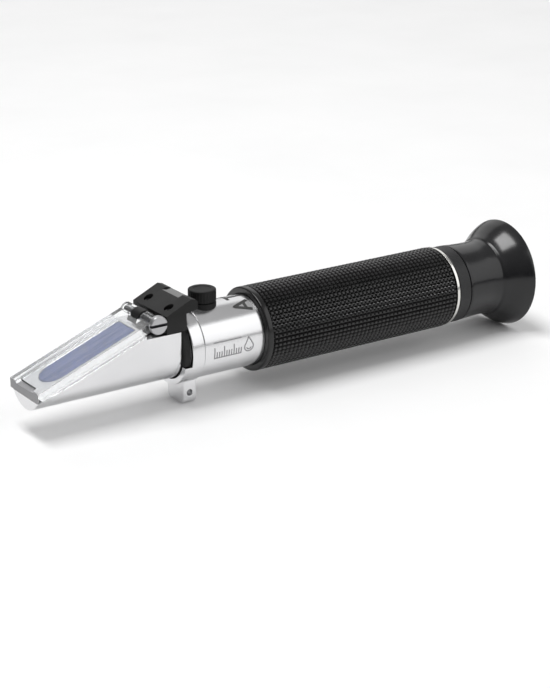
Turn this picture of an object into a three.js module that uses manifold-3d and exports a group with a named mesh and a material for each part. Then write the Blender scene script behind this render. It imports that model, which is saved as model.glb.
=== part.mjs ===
// Hand-held refractometer with a daylight plate, a calibration knob and a focusing eyepiece.
// Millimetres, +Z up. The instrument lies level: the prism end points to -X, the eyepiece to +X.
// The shapes are drawn about the optical axis, with X = 0 at the front face of the grip, and are
// moved once, at the end, so that the origin is the centre of the bounding box's bottom face.

import * as THREE from 'three';
import { mergeVertices } from 'three/addons/utils/BufferGeometryUtils.js';
import Module from 'manifold-3d';

const wasm = await Module();
wasm.setup();

// ---- driving dimensions ----

const GAP = 0.3;
const AXIS_HEIGHT = 20.2;
const X_SHIFT = -15.65;

const ROUND = 40;
const SMALL_ROUND = 24;

const TUBE_R = 12.6;
const TUBE_BORE_R = 11.2;
const SPIGOT_BORE_R = 10.0;
const COLLAR_SEAT_R = 11.5;
const COLLAR_X0 = -29.2;
const COLLAR_X1 = -24.4;
const COLLAR_R = 13.1;
const TUBE_X1 = 85.0;
const SCREW_R = 1.0;
const SCREW_HOLE_R = SCREW_R + GAP;
const SCREW_HEAD_R = 1.9;

const HEAD_X0 = -85.5;
const HEAD_X1 = -32.2;
const HEAD_R = 10.6;
const SEAT_X = -45.4;
const SEAT_Z = 8.4;
const LIGHT_BORE_R = 4.5;
const SPIGOT_R = 9.7;
const SPIGOT_X1 = -22.5;

const TIP_X = -85.8;
const TIP_Z = -6.2;
const SLOPE = THREE.MathUtils.degToRad(21);

const PRISM_S0 = 7.5;
const PRISM_X1 = -46.6;
const PRISM_BOTTOM = -6.0;
const PRISM_HALF = 5.4;

const PLATE_HALF = 9.9;
const PLATE_THICK = 3.1;
const KNUCKLE_R = 2.4;
const PIN_X = -41.4;
const PIN_Z = 12.83;
const PIN_R = 1.0;
const TONGUE_HALF = 2.6;
const TONGUE_R = 2.7;

const BASE_HALF = 11.0;
const BASE_X0 = -38.1;
const BASE_SCREW_X = -34.6;
const LAND_X0 = -30.6;
const LAND_Z = 18.6;
const LAND_HALF = 5.3;
const BASE_SCREW_Y = 6.6;
const BASE_SHANK_R = 0.7;
const BASE_HOLE_R = BASE_SHANK_R + GAP;
const BASE_HEAD_R = 1.3;
const BASE_WELL_R = BASE_HEAD_R + GAP;
const BASE_SOCKET_R = 0.7;

const KNOB_X = -17.4;
const KNOB_R = 4.85;
const KNOB_Z0 = 14.0;
const KNOB_Z1 = 18.2;

const GASKET_R = 12.2;
const LIP_TOP_Z = -4.3;
const LIP_INNER_R = 11.1;

const LUG_X0 = -28.6;
const LUG_X1 = -23.6;
const LUG_HALF = 5.2;
const LUG_CHAMFER = 1.2;
const LUG_HOLE_Z = -16.3;
const LUG_HOLE_R = 1.1;

const CELL_X0 = -21.4;
const CELL_X1 = -14.4;
const CELL_R = 9.4;
const STRIP_X0 = -9;
const STRIP_X1 = 20;
const STRIP_TOP = -7.2;
const STRIP_THICK = 0.8;
const STRIP_SCREW_X = 17;
const INNER_RING_R = TUBE_BORE_R - GAP;
const STOP_X = 38;
const RETICLE_X0 = 58.0;
const RETICLE_X1 = 65.0;

const GRIP_R = 15.0;
const GRIP_X1 = 83.5;
const TRIM_X1 = 84.9;
const TRIM_R = 14.9;

const BARREL_X0 = 85.5;
const BARREL_X1 = 104.0;
const BARREL_R = 14.4;
const BARREL_NECK_R = 12.4;
const OCULAR_X0 = 78.0;
const OCULAR_X1 = 99.1;
const OCULAR_R = 9.6;
const OCULAR_BORE_R = 8.6;
const EYE_LENS_R = OCULAR_BORE_R - GAP;
const SKIRT_X0 = 91.0;
const CREASE_X = 106.8;
const RIM_X = 117.1;
const RIM_R = AXIS_HEIGHT;

// ---- geometry helpers ----

function signedVolume(geometry) {
  const p = geometry.attributes.position;
  const index = geometry.index;
  const a = new THREE.Vector3();
  const b = new THREE.Vector3();
  const c = new THREE.Vector3();
  let sum = 0;
  for (let i = 0; i < index.count; i += 3) {
    a.fromBufferAttribute(p, index.getX(i));
    b.fromBufferAttribute(p, index.getX(i + 1));
    c.fromBufferAttribute(p, index.getX(i + 2));
    sum += a.dot(b.cross(c)) / 6;
  }
  return sum;
}

// One closed surface with shared corners, facing out.
function closed(geometry) {
  geometry.deleteAttribute('normal');
  geometry.deleteAttribute('uv');
  const merged = mergeVertices(geometry, 1e-5);
  if (signedVolume(merged) < 0) {
    const order = Array.from(merged.index.array);
    for (let i = 0; i < order.length; i += 3) {
      [order[i], order[i + 1]] = [order[i + 1], order[i]];
    }
    merged.setIndex(order);
  }
  return merged;
}

function toSolid(geometry) {
  const g = closed(geometry);
  const mesh = new wasm.Mesh({
    numProp: 3,
    vertProperties: new Float32Array(g.attributes.position.array),
    triVerts: new Uint32Array(g.index.array),
  });
  return new wasm.Manifold(mesh);
}

function toGeometry(solid) {
  const mesh = solid.getMesh();
  const geometry = new THREE.BufferGeometry();
  const points = new THREE.BufferAttribute(new Float32Array(mesh.vertProperties), 3);
  geometry.setAttribute('position', points);
  geometry.setIndex(Array.from(mesh.triVerts));
  return geometry;
}

function join(...geometries) {
  const solids = geometries.map(toSolid);
  return toGeometry(solids.reduce((sum, solid) => sum.add(solid)));
}

function cut(geometry, ...tools) {
  const start = toSolid(geometry);
  return toGeometry(tools.reduce((rest, tool) => rest.subtract(toSolid(tool)), start));
}

function common(geometry, other) {
  return toGeometry(toSolid(geometry).intersect(toSolid(other)));
}

// Turned shape about the optical axis from [x, radius] pairs, closed on itself or on the axis.
function turned(profile, segments = ROUND) {
  const points = profile.map(([x, r]) => new THREE.Vector2(r, x));
  const geometry = new THREE.LatheGeometry(points, segments);
  geometry.rotateZ(-Math.PI / 2);
  return geometry;
}

function ringX(x0, x1, inner, outer, segments = ROUND) {
  return turned([[x0, inner], [x0, outer], [x1, outer], [x1, inner], [x0, inner]], segments);
}

function rodX(x0, x1, radius, segments = ROUND) {
  return turned([[x0, 0], [x0, radius], [x1, radius], [x1, 0]], segments);
}

function rodY(x, z, y0, y1, radius, segments = SMALL_ROUND) {
  const geometry = new THREE.CylinderGeometry(radius, radius, y1 - y0, segments);
  geometry.translate(x, (y0 + y1) / 2, z);
  return geometry;
}

// Turned shape about a vertical line through x, y from [z, radius] pairs.
function turnedZ(x, y, profile, segments = SMALL_ROUND) {
  const points = profile.map(([z, r]) => new THREE.Vector2(r, z));
  const geometry = new THREE.LatheGeometry(points, segments);
  geometry.rotateX(Math.PI / 2);
  geometry.translate(x, y, 0);
  return geometry;
}

function block(x0, x1, y0, y1, z0, z1) {
  const geometry = new THREE.BoxGeometry(x1 - x0, y1 - y0, z1 - z0);
  geometry.translate((x0 + x1) / 2, (y0 + y1) / 2, (z0 + z1) / 2);
  return geometry;
}

// A side outline of [x, z] pairs, drawn out from y0 to y1.
function slab(outline, y0, y1) {
  const shape = new THREE.Shape(outline.map(([x, z]) => new THREE.Vector2(x, z)));
  const geometry = new THREE.ExtrudeGeometry(shape, { depth: y1 - y0, bevelEnabled: false });
  geometry.rotateX(Math.PI / 2);
  geometry.translate(0, y1, 0);
  return geometry;
}

// A point at distance s along the sloping top of the head and d above it.
function onSlope(s, d) {
  const x = TIP_X + s * Math.cos(SLOPE) - d * Math.sin(SLOPE);
  const z = TIP_Z + s * Math.sin(SLOPE) + d * Math.cos(SLOPE);
  return [x, z];
}

// Height above the axis of the plane lying d above the sloping top, at a given x.
function slopeZ(x, d = 0) {
  return TIP_Z + (x - TIP_X) * Math.tan(SLOPE) + d / Math.cos(SLOPE);
}

// ---- prism head ----

// The body's cross-section: a half-round belly under straight side walls.
function headBlank() {
  const shape = new THREE.Shape();
  shape.moveTo(-HEAD_R, 24);
  for (let i = 0; i <= 20; i += 1) {
    const angle = Math.PI + (Math.PI * i) / 20;
    shape.lineTo(HEAD_R * Math.cos(angle), HEAD_R * Math.sin(angle));
  }
  shape.lineTo(HEAD_R, 24);
  const depth = HEAD_X1 - HEAD_X0;
  const geometry = new THREE.ExtrudeGeometry(shape, { depth, bevelEnabled: false });
  geometry.rotateX(Math.PI / 2);
  geometry.rotateZ(Math.PI / 2);
  geometry.translate(HEAD_X0, 0, 0);
  return geometry;
}

// Everything above the sloping top and above the seat of the hinge block.
function aboveHead() {
  const outline = [
    [HEAD_X0 - 2, slopeZ(HEAD_X0 - 2)],
    [SEAT_X, slopeZ(SEAT_X)],
    [SEAT_X, SEAT_Z],
    [HEAD_X1, SEAT_Z],
    [HEAD_X1, 30],
    [HEAD_X0 - 2, 30],
  ];
  return slab(outline, -14, 14);
}

function prismOutline(grow) {
  const x0 = onSlope(PRISM_S0, 0)[0] - grow;
  const x1 = PRISM_X1 + grow;
  return [
    [x0, PRISM_BOTTOM - grow],
    [x1, PRISM_BOTTOM - grow],
    [x1, slopeZ(x1, grow)],
    [x0, slopeZ(x0, grow)],
  ];
}

// Rounded-end plan shape of the prism, standing upright.
function prismPlan(grow) {
  const r = PRISM_HALF + grow;
  const x0 = onSlope(PRISM_S0, 0)[0] + PRISM_HALF;
  const shape = new THREE.Shape();
  shape.moveTo(-30, -r);
  shape.lineTo(-30, r);
  for (let i = 0; i <= 16; i += 1) {
    const angle = Math.PI / 2 + (Math.PI * i) / 16;
    shape.lineTo(x0 + r * Math.cos(angle), r * Math.sin(angle));
  }
  const geometry = new THREE.ExtrudeGeometry(shape, { depth: 40, bevelEnabled: false });
  geometry.translate(0, 0, -15);
  return geometry;
}

function prismShape(grow) {
  return common(slab(prismOutline(grow), -10, 10), prismPlan(grow));
}

function prismHead() {
  const body = cut(headBlank(), prismShape(GAP));
  const spigot = rodX(HEAD_X1 - 2, SPIGOT_X1, SPIGOT_R);
  const lightBore = rodX(PRISM_X1 - 1, SPIGOT_X1 + 1, LIGHT_BORE_R, SMALL_ROUND);
  const screwHoles = [-BASE_SCREW_Y, BASE_SCREW_Y].map((y) => (
    turnedZ(BASE_SCREW_X, y, [[4.0, 0], [4.0, BASE_HOLE_R], [10, BASE_HOLE_R], [10, 0]])
  ));
  return cut(join(body, spigot), aboveHead(), lightBore, ...screwHoles);
}

function mainPrism() {
  return prismShape(0);
}

// ---- daylight plate and its hinge ----

function daylightPlate() {
  const d0 = GAP;
  const d1 = GAP + PLATE_THICK;
  const outline = [
    [TIP_X, slopeZ(TIP_X, d0)],
    onSlope(47.6, d0),
    onSlope(47.6, d1),
    [TIP_X, slopeZ(TIP_X, d1)],
  ];
  const plate = slab(outline, -PLATE_HALF, PLATE_HALF);
  const knuckle = rodY(PIN_X, PIN_Z, -PLATE_HALF, PLATE_HALF, KNUCKLE_R);
  const pinHole = rodY(PIN_X, PIN_Z, -12, 12, PIN_R + GAP);
  const tongueSlot = block(
    PIN_X - TONGUE_R - 2 * GAP, -30, -TONGUE_HALF - GAP, TONGUE_HALF + GAP, 5, 20,
  );
  const fingerNotch = slab([
    onSlope(1.1, d1 - 0.9),
    onSlope(3.1, d1 - 0.9),
    onSlope(3.1, d1 + 1),
    onSlope(1.1, d1 + 1),
  ], -5.5, 5.5);
  return cut(join(plate, knuckle), pinHole, tongueSlot, fingerNotch);
}

// Fixed block over the rear of the head, with a tongue that carries the hinge pin.
function hingeBase() {
  const outline = [
    [BASE_X0, SEAT_Z + GAP],
    [-30.3, SEAT_Z + GAP],
    [-30.3, 14.6],
    [-26.0, 15.4],
    [-25.8, 18.1],
    [-26.6, 18.8],
    [-28.4, 19.3],
    [BASE_X0, 14.9],
  ];
  const body = slab(outline, -BASE_HALF, BASE_HALF);
  const tongue = join(
    rodY(PIN_X, PIN_Z, -TONGUE_HALF, TONGUE_HALF, TONGUE_R),
    block(PIN_X, BASE_X0 + 1, -TONGUE_HALF, TONGUE_HALF, PIN_Z - TONGUE_R, PIN_Z + 1.2),
  );
  const pinHole = rodY(PIN_X, PIN_Z, -12, 12, PIN_R + GAP);
  const ringRelief = rodX(HEAD_X1, -20, COLLAR_R + GAP);
  const counterbores = [-BASE_SCREW_Y, BASE_SCREW_Y].map((y) => (
    turnedZ(BASE_SCREW_X, y, [
      [5, 0], [5, BASE_HOLE_R], [12.4, BASE_HOLE_R], [12.4, BASE_WELL_R], [25, BASE_WELL_R], [25, 0],
    ])
  ));
  const land = block(LAND_X0, -20, -LAND_HALF, LAND_HALF, LAND_Z, 25);
  return cut(join(body, tongue), pinHole, ringRelief, land, ...counterbores);
}

function hingePin() {
  const shaft = rodY(PIN_X, PIN_Z, -10.8, 9.6, PIN_R);
  const head = rodY(PIN_X, PIN_Z, -12.0, -PLATE_HALF - GAP, 3.2);
  const slot = block(PIN_X - 4, PIN_X + 4, -13, -11.5, PIN_Z - 0.4, PIN_Z + 0.4);
  return cut(join(shaft, head), slot);
}

function baseScrew(y) {
  const profile = [
    [4.4, 0], [4.4, BASE_SHANK_R], [12.7, BASE_SHANK_R],
    [12.7, BASE_HEAD_R], [15.5, BASE_HEAD_R], [15.5, 0],
  ];
  const screw = turnedZ(BASE_SCREW_X, y, profile);
  const socket = turnedZ(BASE_SCREW_X, y, [
    [14.3, 0], [14.3, BASE_SOCKET_R], [17, BASE_SOCKET_R], [17, 0],
  ], 6);
  return cut(screw, socket);
}

// ---- front of the tube ----

// The gasket shows at the top and the sides; low down it shrinks to clear the collar's lip.
function headGasket() {
  const x0 = HEAD_X1 + GAP;
  const x1 = COLLAR_X0 - GAP;
  const full = ringX(x0, x1, SPIGOT_R + GAP, GASKET_R);
  const low = ringX(x0 - 1, x1 + 1, LIP_INNER_R - GAP, GASKET_R + 1);
  const lipRoom = common(low, block(x0 - 1, x1 + 1, -20, 20, -20, LIP_TOP_Z + GAP));
  return cut(full, lipRoom);
}

// Lower part of the collar that reaches forward under the gasket, up to the head.
function collarLip() {
  const x0 = HEAD_X1 + GAP;
  const inner = ringX(x0, COLLAR_X0 - GAP, LIP_INNER_R, COLLAR_R);
  const bridge = ringX(COLLAR_X0 - 2 * GAP, COLLAR_X0 + GAP, COLLAR_SEAT_R + GAP, COLLAR_R);
  return common(join(inner, bridge), block(x0 - 1, COLLAR_X0 + 1, -20, 20, -20, LIP_TOP_Z));
}

function strapCollar() {
  const ring = ringX(COLLAR_X0, COLLAR_X1, COLLAR_SEAT_R + GAP, COLLAR_R);
  const lugOutline = [
    [-LUG_HALF, -9],
    [-LUG_HALF, -AXIS_HEIGHT + LUG_CHAMFER],
    [-LUG_HALF + LUG_CHAMFER, -AXIS_HEIGHT],
    [LUG_HALF - LUG_CHAMFER, -AXIS_HEIGHT],
    [LUG_HALF, -AXIS_HEIGHT + LUG_CHAMFER],
    [LUG_HALF, -9],
  ];
  const shape = new THREE.Shape(lugOutline.map(([y, z]) => new THREE.Vector2(y, z)));
  const lug = new THREE.ExtrudeGeometry(shape, { depth: LUG_X1 - LUG_X0, bevelEnabled: false });
  lug.rotateX(Math.PI / 2);
  lug.rotateZ(Math.PI / 2);
  lug.translate(LUG_X0, 0, 0);
  const tubeRoom = rodX(COLLAR_X1, -20, TUBE_R + GAP);
  const seatRoom = rodX(-32, COLLAR_X1 + 1, COLLAR_SEAT_R + GAP);
  const strapHole = rodY((LUG_X0 + LUG_X1) / 2, LUG_HOLE_Z, -9, 9, LUG_HOLE_R);
  return join(ring, collarLip(), cut(lug, tubeRoom, seatRoom, strapHole));
}

function mainTube() {
  const profile = [
    [COLLAR_X0, SPIGOT_BORE_R],
    [COLLAR_X0, COLLAR_SEAT_R],
    [COLLAR_X1 + GAP, COLLAR_SEAT_R],
    [COLLAR_X1 + GAP, TUBE_R],
    [TUBE_X1, TUBE_R],
    [TUBE_X1, TUBE_BORE_R],
    [SPIGOT_X1 + 0.5, TUBE_BORE_R],
    [SPIGOT_X1 + 0.5, SPIGOT_BORE_R],
    [COLLAR_X0, SPIGOT_BORE_R],
  ];
  const screwHole = turnedZ(KNOB_X, 0, [[8, 0], [8, 2.6], [14, 2.6], [14, 0]]);
  return cut(turned(profile), screwHole);
}

// ---- calibration knob and the cell it shifts ----

function knobBush() {
  const profile = [
    [10.4, 1.3],
    [10.4, 2.3],
    [11.2, 2.3],
    [11.2, KNOB_R],
    [KNOB_Z0 - GAP, KNOB_R],
    [KNOB_Z0 - GAP, 1.3],
    [10.4, 1.3],
  ];
  const saddle = cut(rodX(KNOB_X - 8, KNOB_X + 8, TUBE_R + GAP), turnedZ(KNOB_X, 0, [
    [5, 0], [5, 2.3], [15, 2.3], [15, 0],
  ]));
  return cut(turnedZ(KNOB_X, 0, profile), saddle);
}

function calibrationKnob() {
  const profile = [
    [KNOB_Z0, 1.3],
    [KNOB_Z0, KNOB_R],
    [KNOB_Z1 - 0.9, KNOB_R],
    [KNOB_Z1 - 0.2, KNOB_R - 0.6],
    [KNOB_Z1, KNOB_R - 1.2],
    [KNOB_Z1, 0],
    [KNOB_Z1 - 1.4, 0],
    [KNOB_Z1 - 1.4, 1.3],
    [KNOB_Z0, 1.3],
  ];
  return turnedZ(KNOB_X, 0, profile, ROUND);
}

function calibrationScrew() {
  return turnedZ(KNOB_X, 0, [[7.2, 0], [7.2, SCREW_R], [16.5, SCREW_R], [16.5, 0]]);
}

function objectiveCell() {
  const profile = [
    [CELL_X0, 5.6],
    [CELL_X0, CELL_R],
    [CELL_X1, CELL_R],
    [CELL_X1, 7.2],
    [-17.0, 7.2],
    [-17.0, 5.6],
    [CELL_X0, 5.6],
  ];
  const screwHole = turnedZ(KNOB_X, 0, [
    [6.3, 0], [6.3, SCREW_HOLE_R], [12, SCREW_HOLE_R], [12, 0],
  ]);
  return cut(turned(profile), screwHole);
}

function objectiveLens() {
  return turned([
    [-19.3, 0],
    [-19.0, 2.4],
    [-18.2, 4.6],
    [-17.8, 5.3],
    [-16.7, 5.3],
    [-16.3, 2.6],
    [-16.2, 0],
  ], SMALL_ROUND);
}

// ---- temperature compensation and stops inside the tube ----

function stripFoot() {
  const blank = block(14, STRIP_X1, -3.2, 3.2, -12, STRIP_TOP - STRIP_THICK - GAP);
  const screwHole = turnedZ(STRIP_SCREW_X, 0, [
    [-10.7, 0], [-10.7, SCREW_HOLE_R], [-7, SCREW_HOLE_R], [-7, 0],
  ]);
  return cut(common(blank, rodX(10, 25, INNER_RING_R)), screwHole);
}

function bimetalStrip() {
  const strip = block(STRIP_X0, STRIP_X1, -3.0, 3.0, STRIP_TOP - STRIP_THICK, STRIP_TOP);
  const screwHole = turnedZ(STRIP_SCREW_X, 0, [
    [-9, 0], [-9, SCREW_HOLE_R], [-6, SCREW_HOLE_R], [-6, 0],
  ]);
  return cut(strip, screwHole);
}

function stripScrew() {
  const seat = STRIP_TOP + GAP;
  return turnedZ(STRIP_SCREW_X, 0, [
    [-10.4, 0], [-10.4, SCREW_R], [seat, SCREW_R],
    [seat, SCREW_HEAD_R], [seat + 1, SCREW_HEAD_R], [seat + 1, 0],
  ]);
}

function compensatorPrism() {
  return slab([[-8.6, -6.9], [-4.2, -6.9], [-5.4, 6.2], [-7.4, 6.2]], -3.0, 3.0);
}

function lightStop() {
  const x = STOP_X;
  return turned([
    [x, 6.0], [x, INNER_RING_R], [x + 3, INNER_RING_R], [x + 3, 6.8], [x + 1, 6.0], [x, 6.0],
  ]);
}

function reticleMount() {
  return turned([
    [RETICLE_X0, 7.8],
    [RETICLE_X0, INNER_RING_R],
    [RETICLE_X1, INNER_RING_R],
    [RETICLE_X1, 9.9],
    [61.0, 9.9],
    [61.0, 7.8],
    [RETICLE_X0, 7.8],
  ]);
}

function reticle() {
  return rodX(61.3, 62.6, 9.6);
}

function reticleRing() {
  return ringX(62.9, 64.8, 8.0, 9.6);
}

// ---- grip ----

function gripSleeve() {
  return turned([
    [0, TUBE_R + GAP],
    [0, GRIP_R - 0.4],
    [0.4, GRIP_R],
    [GRIP_X1, GRIP_R],
    [GRIP_X1, TUBE_R + GAP],
    [0, TUBE_R + GAP],
  ]);
}

function trimRing() {
  return ringX(GRIP_X1 + GAP, TRIM_X1, TUBE_R + GAP, TRIM_R);
}

// ---- focusing eyepiece ----

function eyepieceBush() {
  return ringX(70, 97, OCULAR_R + GAP, INNER_RING_R);
}

function focusBarrel() {
  return turned([
    [BARREL_X0, 11.2],
    [BARREL_X0, BARREL_R - 0.4],
    [BARREL_X0 + 0.4, BARREL_R],
    [SKIRT_X0 - GAP, BARREL_R],
    [SKIRT_X0 - GAP, BARREL_NECK_R],
    [BARREL_X1, BARREL_NECK_R],
    [BARREL_X1, 8.0],
    [99.4, 8.0],
    [99.4, 11.2],
    [BARREL_X0, 11.2],
  ]);
}

function ocularCell() {
  return turned([
    [OCULAR_X0, 7.0],
    [OCULAR_X0, OCULAR_R],
    [OCULAR_X1, OCULAR_R],
    [OCULAR_X1, OCULAR_BORE_R],
    [OCULAR_X0 + 2, OCULAR_BORE_R],
    [OCULAR_X0 + 2, 7.0],
    [OCULAR_X0, 7.0],
  ], SMALL_ROUND);
}

function fieldLens() {
  return turned([
    [80.3, 0], [80.3, EYE_LENS_R], [82.0, EYE_LENS_R], [83.2, 5.4], [83.8, 2.6], [84.0, 0],
  ], SMALL_ROUND);
}

function lensSpacer() {
  return ringX(84.3, 91.4, 7.4, EYE_LENS_R, SMALL_ROUND);
}

function eyeLens() {
  return turned([
    [91.7, 0], [91.9, 2.8], [92.6, 5.6], [93.8, EYE_LENS_R], [95.8, EYE_LENS_R], [95.8, 0],
  ], SMALL_ROUND);
}

function lensRetainer() {
  return ringX(96.1, 98.6, 7.0, EYE_LENS_R, SMALL_ROUND);
}

// Rubber cup: a skirt over the barrel, a waist, then the flare up to the round rim.
function eyecup() {
  return turned([
    [SKIRT_X0, BARREL_NECK_R + GAP],
    [SKIRT_X0, 14.3],
    [97.0, 14.0],
    [102.5, 13.9],
    [CREASE_X, 14.6],
    [109.4, 16.2],
    [112.6, 18.2],
    [115.6, 19.8],
    [RIM_X - 0.4, RIM_R],
    [RIM_X, RIM_R - 0.5],
    [RIM_X, RIM_R - 1.7],
    [113.0, 16.2],
    [109.0, 13.0],
    [105.4, 10.6],
    [BARREL_X1 + GAP, 9.0],
    [BARREL_X1 + GAP, BARREL_NECK_R + GAP],
    [SKIRT_X0, BARREL_NECK_R + GAP],
  ]);
}

// ---- materials ----

function material(color, roughness, metalness) {
  return new THREE.MeshStandardMaterial({ color, roughness, metalness });
}

const satinChrome = () => material(0xc9cacc, 0.25, 1.0);
const polishedSteel = () => material(0xd4d2cc, 0.2, 1.0);
const blackScrew = () => material(0x1c1c1e, 0.35, 0.8);
const blackPlastic = () => material(0x222224, 0.45, 0.0);
const blackRubber = () => material(0x2a2a2b, 0.8, 0.0);
const gripRubber = () => material(0x2b2b2c, 0.75, 0.0);
const sealRubber = () => material(0x1e1e1f, 0.85, 0.0);
const brassScrew = () => material(0xb89a4e, 0.35, 1.0);
const bimetal = () => material(0x9c8f78, 0.4, 0.9);
const blackMetal = () => material(0x18181a, 0.6, 0.4);

function clear(color, opacity) {
  const glass = material(color, 0.05, 0.0);
  glass.transparent = true;
  glass.opacity = opacity;
  return glass;
}

const bluePrism = () => clear(0x7a90c4, 0.75);
const clearPlate = () => clear(0xdce4ea, 0.45);
const lensGlass = () => clear(0xdfe8ec, 0.4);

// ---- assembly ----

const part = new THREE.Group();
part.name = 'refractometer';

function add(name, geometry, look) {
  const solid = closed(geometry);
  solid.translate(X_SHIFT, 0, AXIS_HEIGHT);
  solid.computeVertexNormals();
  const mesh = new THREE.Mesh(solid, look());
  mesh.name = name;
  part.add(mesh);
}

add('prism_head', prismHead(), satinChrome);
add('main_prism', mainPrism(), bluePrism);
add('daylight_plate', daylightPlate(), clearPlate);
add('hinge_base', hingeBase(), blackPlastic);
add('hinge_pin', hingePin(), polishedSteel);
add('base_screw_near', baseScrew(-BASE_SCREW_Y), blackScrew);
add('base_screw_far', baseScrew(BASE_SCREW_Y), blackScrew);
add('head_gasket', headGasket(), sealRubber);
add('strap_collar', strapCollar(), satinChrome);
add('main_tube', mainTube(), satinChrome);
add('knob_bush', knobBush(), blackMetal);
add('calibration_knob', calibrationKnob(), blackPlastic);
add('calibration_screw', calibrationScrew(), brassScrew);
add('objective_cell', objectiveCell(), blackMetal);
add('objective_lens', objectiveLens(), lensGlass);
add('strip_foot', stripFoot(), blackMetal);
add('bimetal_strip', bimetalStrip(), bimetal);
add('strip_screw', stripScrew(), brassScrew);
add('compensator_prism', compensatorPrism(), lensGlass);
add('light_stop', lightStop(), blackMetal);
add('reticle_mount', reticleMount(), blackMetal);
add('reticle', reticle(), lensGlass);
add('reticle_ring', reticleRing(), blackMetal);
add('grip_sleeve', gripSleeve(), gripRubber);
add('trim_ring', trimRing(), polishedSteel);
add('eyepiece_bush', eyepieceBush(), blackMetal);
add('focus_barrel', focusBarrel(), blackPlastic);
add('ocular_cell', ocularCell(), blackMetal);
add('field_lens', fieldLens(), lensGlass);
add('lens_spacer', lensSpacer(), blackMetal);
add('eye_lens', eyeLens(), lensGlass);
add('lens_retainer', lensRetainer(), blackMetal);
add('eyecup', eyecup(), blackRubber);

export default part;
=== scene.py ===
"""Looks of the hand-held refractometer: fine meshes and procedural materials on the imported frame.

The profiles below are in millimetres about the optical axis, with x = 0 at the front face of the
grip, and point() moves them into the frame, in metres.
"""
import math

import bmesh
import bpy
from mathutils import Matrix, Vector


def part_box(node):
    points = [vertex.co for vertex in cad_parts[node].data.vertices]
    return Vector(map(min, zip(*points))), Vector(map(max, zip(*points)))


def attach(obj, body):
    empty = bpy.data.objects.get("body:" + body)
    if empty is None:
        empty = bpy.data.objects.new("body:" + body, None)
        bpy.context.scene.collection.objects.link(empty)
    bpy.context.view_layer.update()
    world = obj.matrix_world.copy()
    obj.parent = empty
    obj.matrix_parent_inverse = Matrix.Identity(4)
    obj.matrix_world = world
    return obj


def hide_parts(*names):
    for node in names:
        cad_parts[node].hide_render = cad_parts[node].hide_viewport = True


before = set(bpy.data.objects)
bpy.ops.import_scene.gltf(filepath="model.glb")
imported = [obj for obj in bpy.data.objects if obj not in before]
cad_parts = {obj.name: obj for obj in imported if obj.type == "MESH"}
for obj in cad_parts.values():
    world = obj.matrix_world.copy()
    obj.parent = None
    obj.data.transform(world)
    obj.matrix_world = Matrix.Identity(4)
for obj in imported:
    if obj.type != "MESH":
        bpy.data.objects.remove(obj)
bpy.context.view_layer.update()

MM = 0.001
GRIP_LOW, GRIP_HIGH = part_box("grip_sleeve")
X_SHIFT = GRIP_LOW.x
AXIS_Z = (GRIP_LOW.z + GRIP_HIGH.z) / 2

TUBE_R = 12.6
HEAD_R = 10.6
SLOPE = math.radians(21)
TIP_X, TIP_Z = -85.8, -6.2
SEAT_X, SEAT_Z = -45.4, 8.4
PIN_X, PIN_Z = -41.4, 12.83
KNOB_X = -17.4
GRIP_R = 15.0
GRIP_X1 = 83.5
GAP = 0.3
LIP_TOP_Z = -4.3
LAND_Z = 18.6
TUBE_BORE = 11.2
SPIGOT_R = 10.0
SLEEVE_BORE = 12.9
TRIM_R = 14.9
BARREL_R = 14.4
BARREL_NECK_R = 12.4
KNOB_R = 4.85
HEAD_X0, HEAD_X1 = -85.5, -32.2
PLATE_HALF = 9.9
BLOCK_HALF = 11.0
PLATE_KNUCKLE_R = 2.4
BASE_KNUCKLE_R, BASE_KNUCKLE_HALF = 2.7, 2.6
SCREW_X, SCREW_Y = -34.6, 6.6


def point(x, y, z):
    """A point of the drawing, in millimetres about the optical axis, as a place in the frame."""
    return Vector((X_SHIFT + x * MM, y * MM, AXIS_Z + z * MM))


def on_slope(s, d):
    """[x, z] at distance s along the head's sloping top and d above it."""
    return (
        TIP_X + s * math.cos(SLOPE) - d * math.sin(SLOPE),
        TIP_Z + s * math.sin(SLOPE) + d * math.cos(SLOPE),
    )


def slope_z(x, d=0.0):
    """Height about the axis of the plane d above the sloping top, at x."""
    return TIP_Z + (x - TIP_X) * math.tan(SLOPE) + d / math.cos(SLOPE)


# ---- materials ----


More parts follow.
